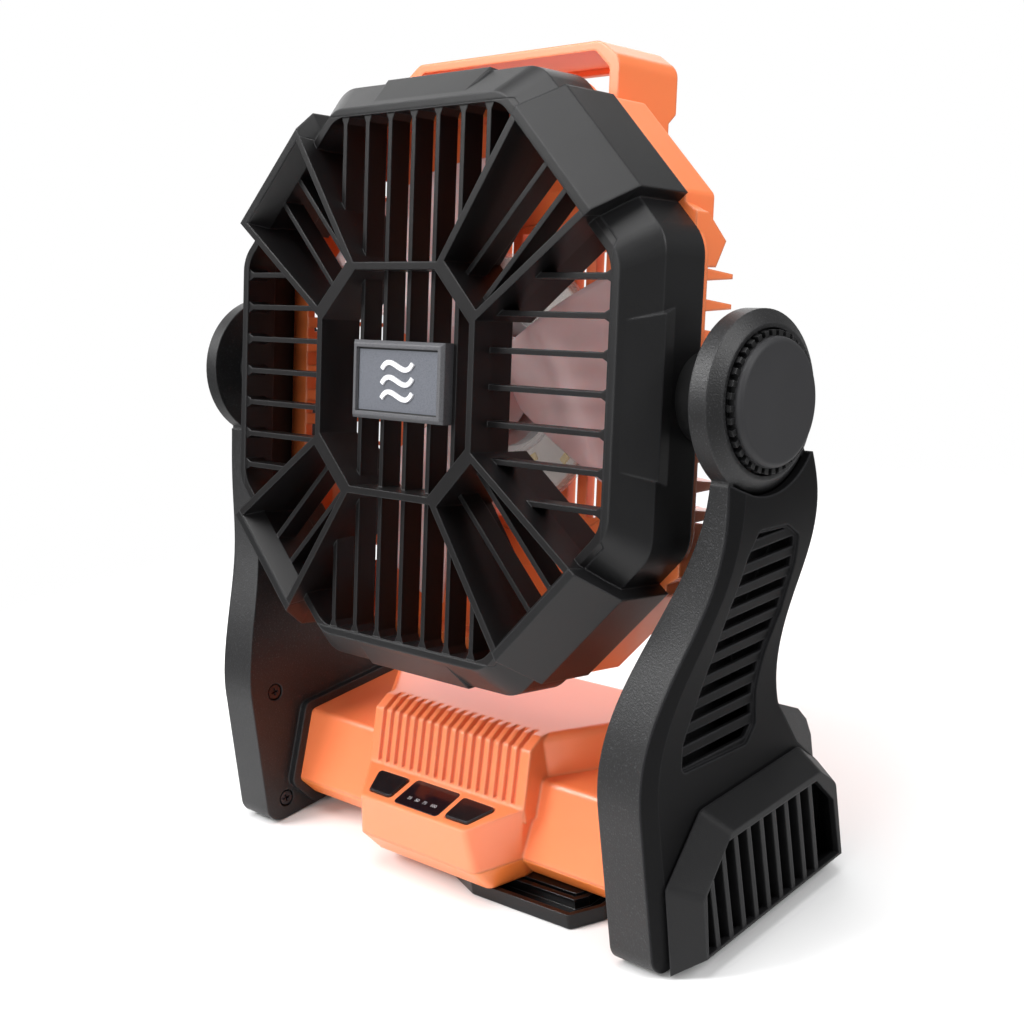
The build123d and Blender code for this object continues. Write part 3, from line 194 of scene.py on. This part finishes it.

# in each look the edge colour is a painted highlight: lighter rims where light catches the rounded
# edges
blackPlastic = {
    "bezelSatin": {
        "nodes": ("front_bezel",),
        "colour": (0.0058, 0.0058, 0.0064), "edge": (0.030, 0.030, 0.032),
        "edgeRadius": 1.0 * mm, "roughness": 0.42, "specular": 0.36,
        "grainScale": 2600.0, "grainDepth": 0.14, "speckle": 0.35, "fleck": 2.4},
    "grilleSatin": {
        "nodes": ("front_grille",),
        "colour": (0.0052, 0.0046, 0.0050), "edge": (0.030, 0.030, 0.032),
        "edgeRadius": 0.6 * mm, "roughness": 0.40, "specular": 0.36,
        "grainScale": 2600.0, "grainDepth": 0.10, "speckle": 0.3, "fleck": 2.4},
    "legCoarseGrain": {
        "nodes": ("leg_shell_right", "leg_shell_left"),
        "colour": (0.0066, 0.0066, 0.0072), "edge": (0.028, 0.028, 0.030),
        "edgeRadius": 1.0 * mm, "roughness": 0.46, "specular": 0.46,
        "grainScale": 1700.0, "grainDepth": 0.5, "speckle": 0.9, "fleck": 6.5},
    "coverFineGrain": {
        "nodes": ("leg_cover_right", "leg_cover_left"),
        "colour": (0.0044, 0.0044, 0.0048), "edge": (0.036, 0.036, 0.039),
        "edgeRadius": 1.2 * mm, "roughness": 0.6, "specular": 0.11,
        "grainScale": 2400.0, "grainDepth": 0.2, "speckle": 0.3, "fleck": 2.4},
    "footFineGrain": {
        "nodes": ("foot_shell_right", "foot_shell_left"),
        "colour": (0.0066, 0.0066, 0.0072), "edge": (0.030, 0.030, 0.032),
        "edgeRadius": 0.9 * mm, "roughness": 0.5, "specular": 0.26,
        "grainScale": 2400.0, "grainDepth": 0.2, "speckle": 0.35, "fleck": 2.4},
    "knobSatin": {
        "nodes": ("knob_right", "knob_left", "trunnion_right", "trunnion_left"),
        "colour": (0.0056, 0.0056, 0.0060), "edge": (0.024, 0.024, 0.026),
        "edgeRadius": 0.4 * mm, "roughness": 0.48, "specular": 0.4,
        "grainScale": 2800.0, "grainDepth": 0.1, "speckle": 0.3, "fleck": 2.4},
    # the cap's colour, several times lighter than the other blacks, is a painted sheen for its
    # glossier face
    "knobCapSatin": {
        "nodes": ("knob_cap_right", "knob_cap_left"),
        "colour": (0.026, 0.026, 0.028), "edge": (0.040, 0.040, 0.043),
        "edgeRadius": 0.8 * mm, "roughness": 0.55, "specular": 0.35,
        "grainScale": 3200.0, "grainDepth": 0.04, "speckle": 0.1, "fleck": 2.4},
    "hookGloss": {
        "nodes": ("hook_bail", "hook_seat"),
        "colour": (0.0036, 0.0036, 0.0040), "edge": (0.050, 0.050, 0.053),
        "edgeRadius": 0.5 * mm, "roughness": 0.20, "specular": 0.3,
        "grainScale": 2800.0, "grainDepth": 0.03, "speckle": 0.1, "fleck": 2.4},
}


def makeBlackPlastic(name, look):
    shared = blackShared
    finish = Finish(name, {"Specular IOR Level": look["specular"]})
    soft = finish.softEdges(look["edgeRadius"])
    edges = finish.edgeMask(soft)
    grain = finish.noise(look["grainScale"], shared["grainDetail"], shared["grainContrast"])
    patches = finish.noise(shared["patchScale"], shared["patchDetail"])
    dull = scaled(look["colour"], shared["dull"])
    bright = scaled(look["colour"], look["fleck"])
    flecks = grain.ramp(*shared["fleckBand"]) * look["speckle"]
    # painted highlight: rounded edges, in patches, mixed towards the lighter edge colour
    wearAndEdgeHighlight = edges * patches.ramp(*shared["edgeWear"])
    shaded = finish.mix(patches.ramp(*shared["patchBand"]), dull, look["colour"])
    speckled = finish.mix(flecks, shaded, bright)
    uneven = look["roughness"] + grain.swing(shared["grainSwing"])
    finish.feed(baseColour=finish.mix(wearAndEdgeHighlight, speckled, look["edge"]),
                roughness=uneven + patches.swing(shared["patchSwing"]),
                normal=finish.bump(grain, look["grainDepth"], shared["grainStep"], soft))
    return finish


dress(makeBlackPlastic, blackPlastic)


# orange plastics

orangeShared = {
    "shader": {"Specular IOR Level": 0.8, "Coat Weight": 0.35, "Coat Roughness": 0.4,
               "Subsurface Weight": 0.1, "Subsurface Radius": (0.9, 0.25, 0.08),
               "Subsurface Scale": 1.4 * mm},
    "roughness": 0.36, "dull": 0.96, "edgeShare": 0.4,
    "grainScale": 3000.0, "grainDepth": 0.05, "grainStep": 0.2 * mm, "grainSwing": 0.05,
    "flowScale": 22.0, "flowDetail": 3.0, "flowStretch": (1.0, 1.0, 2.5),
    "flowBand": (0.25, 0.75), "flowSwing": 0.06,
}

# each look's edge colour is a painted highlight on the rounded edges
orangePlastic = {
    "housingOrange": {
        "nodes": ("rear_housing", "rear_grille", "carry_handle"),
        "colour": (0.95, 0.215, 0.055), "edge": (0.97, 0.36, 0.15), "edgeRadius": 1.2 * mm},
    "baseOrange": {
        "nodes": ("base_top",),
        "colour": (0.95, 0.225, 0.075), "edge": (0.97, 0.37, 0.17), "edgeRadius": 1.8 * mm},
    "baseLowerOrange": {
        "nodes": ("base_bottom",),
        "colour": (0.95, 0.235, 0.045), "edge": (0.97, 0.37, 0.11), "edgeRadius": 1.8 * mm},
}


def makeOrangePlastic(name, look):
    shared = orangeShared
    finish = Finish(name, shared["shader"])
    soft = finish.softEdges(look["edgeRadius"])
    edges = finish.edgeMask(soft)
    grain = finish.noise(shared["grainScale"])
    flow = finish.noise(shared["flowScale"], shared["flowDetail"],
                        place=finish.stretched(shared["flowStretch"]))
    dull = scaled(look["colour"], shared["dull"])
    body = finish.mix(flow.ramp(*shared["flowBand"]), dull, look["colour"])
    uneven = shared["roughness"] + grain.swing(shared["grainSwing"])
    # painted highlight: rounded edges mixed partway to the lighter edge colour
    finish.feed(baseColour=finish.mix(edges * shared["edgeShare"], body, look["edge"]),
                roughness=uneven + flow.swing(shared["flowSwing"]),
                normal=finish.bump(grain, shared["grainDepth"], shared["grainStep"], soft))
    return finish


dress(makeOrangePlastic, orangePlastic)


# display window and keys

glossShared = {
    "shader": {"Specular IOR Level": 0.5, "Coat Weight": 0.4, "Coat Roughness": 0.04},
    # the edge colour is a painted highlight along the rounded edges of the window and keys
    "edge": (0.07, 0.06, 0.065), "edgeRadius": 0.35 * mm, "edgeShare": 0.6,
    "smearScale": 160.0, "smearDetail": 4.0, "smearContrast": 0.6,
    "smearBand": (0.35, 0.75), "smearDulling": 0.08,
}

glossBlack = {
    "displayGloss": {
        "nodes": ("display_window",),
        "colour": (0.010, 0.005, 0.007), "roughness": 0.08},
    "keyGloss": {
        "nodes": ("button_right", "button_left"),
        "colour": (0.010, 0.008, 0.009), "roughness": 0.14},
}


def makeGlossBlack(name, look):
    shared = glossShared
    finish = Finish(name, shared["shader"])
    soft = finish.softEdges(shared["edgeRadius"])
    smear = finish.noise(shared["smearScale"], shared["smearDetail"], shared["smearContrast"])
    # painted highlight on the rounded edges
    edges = finish.edgeMask(soft) * shared["edgeShare"]
    dulling = shared["smearDulling"] * smear.ramp(*shared["smearBand"])
    finish.feed(baseColour=finish.mix(edges, look["colour"], shared["edge"]),
                roughness=look["roughness"] + dulling, normal=soft)
    return finish


dress(makeGlossBlack, glossBlack)


# badge: its plate and frame are one solid, told apart by where the colours change

badge = {
    "nodes": ("badge_plate",),
    "frameColour": (0.112, 0.112, 0.120),
    "plateColour": (0.140, 0.148, 0.170),
    # near-black painted shade for the gap round the plate, and the colour of the grain specks
    "gapShadeAndSpeckColour": (0.006, 0.006, 0.007),
    "halfWidth": 21.4, "halfHeight": 11.4, "gap": 0.55, "blend": 0.1,  # in mm
    "up": (0.0, 0.2378, 0.9713), "middle": 173.5,  # the head's tilt, and mm along it
    "specular": 0.5, "roughness": 0.36, "edgeRadius": 0.6 * mm,
    "grainScale": 2400.0, "grainBand": (0.4, 0.7), "grainShare": 0.25,
    "grainDepth": 0.06, "grainStep": 0.2 * mm, "grainSwing": 0.1,
}


def makeBadgeGrey(name, look):
    # a grey plate let into a darker frame, with painted shade in a thin gap round it; the same
    # near-black marks the grain specks
    finish = Finish(name, {"Specular IOR Level": look["specular"]})
    soft = finish.softEdges(look["edgeRadius"])
    grain = finish.noise(look["grainScale"])
    height = finish.along(look["up"]) / mm - look["middle"]
    width = finish.axis("X") / mm
    pastSide = width.absolute() - look["halfWidth"]
    outside = pastSide.largest(height.absolute() - look["halfHeight"])
    # painted shade: a thin near-black line where the plate meets the frame
    plate = outside.ramp(-look["gap"] - look["blend"], -look["gap"], 1.0, 0.0)
    inner = finish.mix(plate, look["gapShadeAndSpeckColour"], look["plateColour"])
    body = finish.mix(outside.ramp(-look["blend"], 0.0), inner, look["frameColour"])
    specks = grain.ramp(*look["grainBand"]) * look["grainShare"]
    finish.feed(baseColour=finish.mix(specks, body, look["gapShadeAndSpeckColour"]),
                roughness=look["roughness"] + grain.swing(look["grainSwing"]),
                normal=finish.bump(grain, look["grainDepth"], look["grainStep"], soft))
    return finish


dress(makeBadgeGrey, {"badgeGrey": badge})


# printed wave sign and display numbers

printShared = {
    "specular": 0.3, "roughness": 0.5, "wearScale": 900.0, "wearDetail": 4.0,
    "wearContrast": 0.7, "wearBand": (0.62, 0.85), "wearShare": 0.3, "wearDarkening": 0.6,
    "wearSwing": 0.1,
}

waveSign = {"nodes": ("badge_symbol",), "colour": (0.80, 0.80, 0.82)}

display = {
    "numbers": (("25", -6.7), ("50", -2.6), ("75", 1.5), ("100", 6.3)),  # text, mm across
    "colour": (0.46, 0.46, 0.48),
    "height": 1.45, "rise": 5.7, "lift": 0.18, "thickness": 0.01,  # in mm
    "digitShare": 0.7,  # a digit's height as a share of the font's size
    "origin": (0.0, -65.232, 31.6), "slope": (0.0, 0.9777, 0.2099), "out": (0.0, -0.2099, 0.9777),
}


def makePrint(name, look):
    shared = printShared
    finish = Finish(name, {"Specular IOR Level": shared["specular"]})
    wearAndEdgeHighlight = finish.noise(shared["wearScale"], shared["wearDetail"], shared["wearContrast"])
    worn = scaled(look["colour"], shared["wearDarkening"])
    wornShare = wearAndEdgeHighlight.ramp(*shared["wearBand"]) * shared["wearShare"]
    finish.feed(baseColour=finish.mix(wornShare, look["colour"], worn),
                roughness=shared["roughness"] + wearAndEdgeHighlight.swing(shared["wearSwing"]))
    return finish


def makeDisplayNumbers():
    # plain charge levels in percent, printed under the display's window
    finish = makePrint("numberPrint", display)
    up, out = Vector(display["slope"]), Vector(display["out"])
    sheet = Matrix((Vector((1.0, 0.0, 0.0)), up, out)).transposed().to_4x4()
    line = Vector(display["origin"]) + up * display["rise"] + out * display["lift"]
    for text, across in display["numbers"]:
        letters = bpy.data.curves.new("number" + text, "FONT")
        letters.body = text
        letters.size = display["height"] * mm / display["digitShare"]
        letters.align_x = "CENTER"
        letters.extrude = display["thickness"] * mm
        source = bpy.data.objects.new("source" + text, letters)
        bpy.context.scene.collection.objects.link(source)
        shaped = source.evaluated_get(bpy.context.evaluated_depsgraph_get())
        mesh = bpy.data.meshes.new_from_object(shaped)
        bpy.data.objects.remove(source)
        spot = line + Vector((across, 0.0, 0.0))
        mesh.transform(Matrix.Translation(spot * mm) @ sheet)
        piece = bpy.data.objects.new("displayNumber" + text, mesh)
        bpy.context.scene.collection.objects.link(piece)
        mesh.materials.clear()
        mesh.materials.append(finish.material)
        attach(piece, "base")


dress(makePrint, {"whitePrint": waveSign})
makeDisplayNumbers()


# blades and lamp lens

blade = {
    "nodes": ("fan_blade",),
    "shader": {"Specular IOR Level": 0.5, "Subsurface Weight": 0.8,
               "Subsurface Radius": (1.0, 0.6, 0.5), "Subsurface Scale": 6.0 * mm},
    "deepTint": (0.98, 0.57, 0.57), "lightTint": (0.99, 0.64, 0.64), "flowScale": 30.0,
    "alpha": 0.87, "alphaSwing": 0.05, "roughness": 0.3, "roughnessSwing": 0.08,
    "edgeRadius": 0.5 * mm,
}

lens = {
    "nodes": ("led_lens",),
    "shader": {"Specular IOR Level": 0.5},
    "dark": (0.88, 0.86, 0.85), "light": (0.95, 0.94, 0.93), "frostScale": 2400.0,
    "alpha": 0.24, "alphaSwing": 0.06, "roughness": 0.22, "frostDulling": 0.08,
    "frostDepth": 0.06, "frostStep": 0.2 * mm, "edgeRadius": 0.5 * mm,
}


def makeBlade(name, look):
    finish = Finish(name, look["shader"])
    flow = finish.noise(look["flowScale"])
    finish.feed(baseColour=finish.mix(flow, look["deepTint"], look["lightTint"]),
                roughness=look["roughness"] + flow.swing(look["roughnessSwing"]),
                alpha=look["alpha"] + flow.swing(look["alphaSwing"]),
                normal=finish.softEdges(look["edgeRadius"]))
    return finish


def makeLens(name, look):
    finish = Finish(name, look["shader"])
    soft = finish.softEdges(look["edgeRadius"])
    frost = finish.noise(look["frostScale"])
    finish.feed(baseColour=finish.mix(frost, look["dark"], look["light"]),
                roughness=look["roughness"] + look["frostDulling"] * frost,
                alpha=look["alpha"] + frost.swing(look["alphaSwing"]),
                normal=finish.bump(frost, look["frostDepth"], look["frostStep"], soft))
    return finish


dress(makeBlade, {"bladeTinted": blade})
dress(makeLens, {"lampFrosted": lens})


# motor, screws and other metal

metalShared = {
    "edgeRadius": 0.3 * mm, "dull": 0.8, "metallic": 0.95, "stainScale": 120.0,
    "stainDetail": 4.0, "stainShine": 0.05, "lineScale": 1400.0, "lineDetail": 3.0,
    "lineDepth": 0.06, "lineStep": 0.1 * mm, "lineSwing": 0.15,
}

metals = {
    "motorCan": {
        "nodes": ("motor_housing",),
        "colour": (0.60, 0.60, 0.62), "roughness": 0.36, "brushed": (1.0, 0.08, 1.0)},
    "turnedSteel": {
        "nodes": ("motor_bearings", "motor_rotor", "motor_shaft", "blade_nut",
                  "clamp_stud_right", "clamp_stud_left", "hook_pins", "charge_port",
                  "trunnion_screws", "head_screws", "grille_screws", "base_screws",
                  "base_leg_screws"),
        "colour": (0.56, 0.56, 0.58), "roughness": 0.32, "brushed": (1.0, 1.0, 1.0)},
    "windings": {
        "nodes": ("motor_stator",),
        "colour": (0.72, 0.32, 0.14), "roughness": 0.4, "brushed": (1.0, 6.0, 1.0)},
    "blackScrew": {
        "nodes": ("leg_screws", "seat_screws"),
        "colour": (0.05, 0.05, 0.055), "roughness": 0.4, "brushed": (1.0, 1.0, 1.0)},
}


def makeMetal(name, look):
    shared = metalShared
    finish = Finish(name, {})
    soft = finish.softEdges(shared["edgeRadius"])
    lines = finish.noise(shared["lineScale"], shared["lineDetail"],
                         place=finish.stretched(look["brushed"]))
    stain = finish.noise(shared["stainScale"], shared["stainDetail"])
    dull = scaled(look["colour"], shared["dull"])
    finish.feed(baseColour=finish.mix(stain, dull, look["colour"]),
                metallic=shared["metallic"] + shared["stainShine"] * stain,
                roughness=look["roughness"] + lines.swing(shared["lineSwing"]),
                normal=finish.bump(lines, shared["lineDepth"], shared["lineStep"], soft))
    return finish


dress(makeMetal, metals)


# lamp board, mount, rubber and battery

plainShared = {
    "specular": 0.4, "edgeRadius": 0.4 * mm, "mottleDetail": 3.0, "mottleDepth": 0.08,
    "mottleStep": 0.2 * mm, "mottleSwing": 0.1,
}

plainPlastic = {
    "lampBoard": {
        "nodes": ("led_board",), "roughness": 0.4, "mottleScale": 700.0,
        "dark": (0.82, 0.80, 0.76), "light": (0.88, 0.86, 0.82)},
    "lampChip": {
        "nodes": ("led_chips",), "roughness": 0.35, "mottleScale": 700.0,
        "dark": (0.90, 0.66, 0.10), "light": (0.96, 0.76, 0.18)},
    "whiteMount": {
        "nodes": ("motor_mount",), "roughness": 0.5, "mottleScale": 700.0,
        "dark": (0.72, 0.70, 0.68), "light": (0.80, 0.78, 0.76)},
    "padRubber": {
        "nodes": ("pivot_washers", "rubber_feet"), "roughness": 0.8, "mottleScale": 1500.0,
        "dark": (0.015, 0.015, 0.016), "light": (0.028, 0.028, 0.03)},
    "holderBlack": {
        "nodes": ("battery_holder", "button_switches"), "roughness": 0.6, "mottleScale": 700.0,
        "dark": (0.03, 0.03, 0.032), "light": (0.045, 0.045, 0.048)},
    "cellSleeve": {
        "nodes": ("battery_cells",), "roughness": 0.3, "mottleScale": 700.0,
        "dark": (0.02, 0.07, 0.28), "light": (0.03, 0.10, 0.36)},
}


def makePlainPlastic(name, look):
    shared = plainShared
    finish = Finish(name, {"Specular IOR Level": shared["specular"]})
    soft = finish.softEdges(shared["edgeRadius"])
    mottle = finish.noise(look["mottleScale"], shared["mottleDetail"])
    finish.feed(baseColour=finish.mix(mottle, look["dark"], look["light"]),
                roughness=look["roughness"] + mottle.swing(shared["mottleSwing"]),
                normal=finish.bump(mottle, shared["mottleDepth"], shared["mottleStep"], soft))
    return finish


dress(makePlainPlastic, plainPlastic)


# circuit boards

circuitBoard = {
    "nodes": ("control_board", "key_board"),
    "track": (0.05, 0.30, 0.10), "board": (0.015, 0.13, 0.045),
    "trackScale": 260.0, "trackBand": (0.02, 0.08),
    "specular": 0.5, "roughness": 0.35, "boardDulling": 0.15,
}


def makeCircuitBoard(name, look):
    finish = Finish(name, {"Specular IOR Level": look["specular"]})
    settings = {"distance": "MANHATTAN", "feature": "DISTANCE_TO_EDGE"}
    cells = finish.add("ShaderNodeTexVoronoi", settings, {
        "Vector": finish.place(), "Scale": look["trackScale"]})
    board = cells.ramp(*look["trackBand"])
    finish.feed(baseColour=finish.mix(board, look["track"], look["board"]),
                roughness=look["roughness"] + look["boardDulling"] * board)
    return finish


dress(makeCircuitBoard, {"circuitBoard": circuitBoard})
print("finishes are on the frame's nodes")


# floor, light and camera

floorLook = {
    "half": 1.0, "fade": (0.26, 0.50),  # in metres; the fade is measured from the middle
    "colour": (0.86, 0.86, 0.86), "paler": 1.01, "toneScale": 6.0,
    "shader": {"Specular IOR Level": 0.1, "Roughness": 0.9},
}

studio = {
    "worldColour": (1.0, 1.0, 1.0), "worldStrength": 0.27,
    "aim": (0.0, 0.0, 0.14),
    "lights": {
        "key": {"power": 34.0, "place": (-1.05, -1.05, 1.40), "size": 0.8},
        "top": {"power": 16.0, "place": (0.05, -0.25, 1.65), "size": 1.0},
        "backdrop": {"power": 22.0, "place": (-1.3, 1.35, 0.80), "size": 2.0},
        "right": {"power": 20.0, "place": (1.45, 0.35, 1.15), "size": 0.9},
        "front": {"power": 12.0, "place": (0.30, -1.75, 0.60), "size": 1.0},
    },
}

view = {
    "place": (0.40969, -0.38670, 0.29175),
    "azimuth": 46.14, "elevation": 16.27, "roll": -7.79,
    "lens": 54.47, "sensor": 36.0,
}


def makeFloor():
    # pale floor that keeps the shadow and fades away before its far edge
    mesh = bpy.data.meshes.new("floor")
    half = floorLook["half"]
    corners = [(-half, -half, 0), (half, -half, 0), (half, half, 0), (-half, half, 0)]
    mesh.from_pydata(corners, [], [(0, 1, 2, 3)])
    floor = bpy.data.objects.new("floor", mesh)
    bpy.context.scene.collection.objects.link(floor)
    finish = Finish("paleFloor", floorLook["shader"])
    tone = finish.noise(floorLook["toneScale"])
    paler = scaled(floorLook["colour"], floorLook["paler"])
    finish.feed(baseColour=finish.mix(tone, floorLook["colour"], paler),
                alpha=finish.distance().ramp(*floorLook["fade"], 1.0, 0.0))
    mesh.materials.append(finish.material)


def makeWorld():
    # white where the camera sees it, dimmer as a light
    world = bpy.data.worlds.new("studio")
    bpy.context.scene.world = world
    world.use_nodes = True
    sky = Shading(world.node_tree)
    seen = sky.add("ShaderNodeLightPath", output="Is Camera Ray")
    strength = studio["worldStrength"] + seen * (1.0 - studio["worldStrength"])
    light = sky.add("ShaderNodeBackground", None, {
        "Color": studio["worldColour"], "Strength": strength})
    sky.add("ShaderNodeOutputWorld", None, {"Surface": light})


def makeLight(name, power, place, size):
    data = bpy.data.lights.new(name, "AREA")
    data.energy = power
    data.size = size
    light = bpy.data.objects.new(name, data)
    light.location = place
    toAim = Vector(studio["aim"]) - Vector(place)
    light.rotation_euler = toAim.to_track_quat("-Z", "Y").to_euler()
    bpy.context.scene.collection.objects.link(light)


def makeCamera():
    azimuth, elevation, roll = (
        math.radians(view[key]) for key in ("azimuth", "elevation", "roll"))
    back = Vector((math.sin(azimuth) * math.cos(elevation),
                   -math.cos(azimuth) * math.cos(elevation), math.sin(elevation)))
    level = Vector((math.cos(azimuth), math.sin(azimuth), 0.0))
    up = back.cross(level)
    right = math.cos(roll) * level + math.sin(roll) * up
    top = math.cos(roll) * up - math.sin(roll) * level
    camera = bpy.data.objects.new("camera", bpy.data.cameras.new("camera"))
    camera.data.lens = view["lens"]
    camera.data.sensor_width = view["sensor"]
    camera.matrix_world = Matrix((right, top, back)).transposed().to_4x4()
    camera.location = view["place"]
    bpy.context.scene.collection.objects.link(camera)
    bpy.context.scene.camera = camera


makeFloor()
makeWorld()
for lampName, lamp in studio["lights"].items():
    makeLight(lampName, **lamp)
makeCamera()
bpy.context.scene.view_settings.view_transform = "Standard"
print("floor, lights and camera are placed")
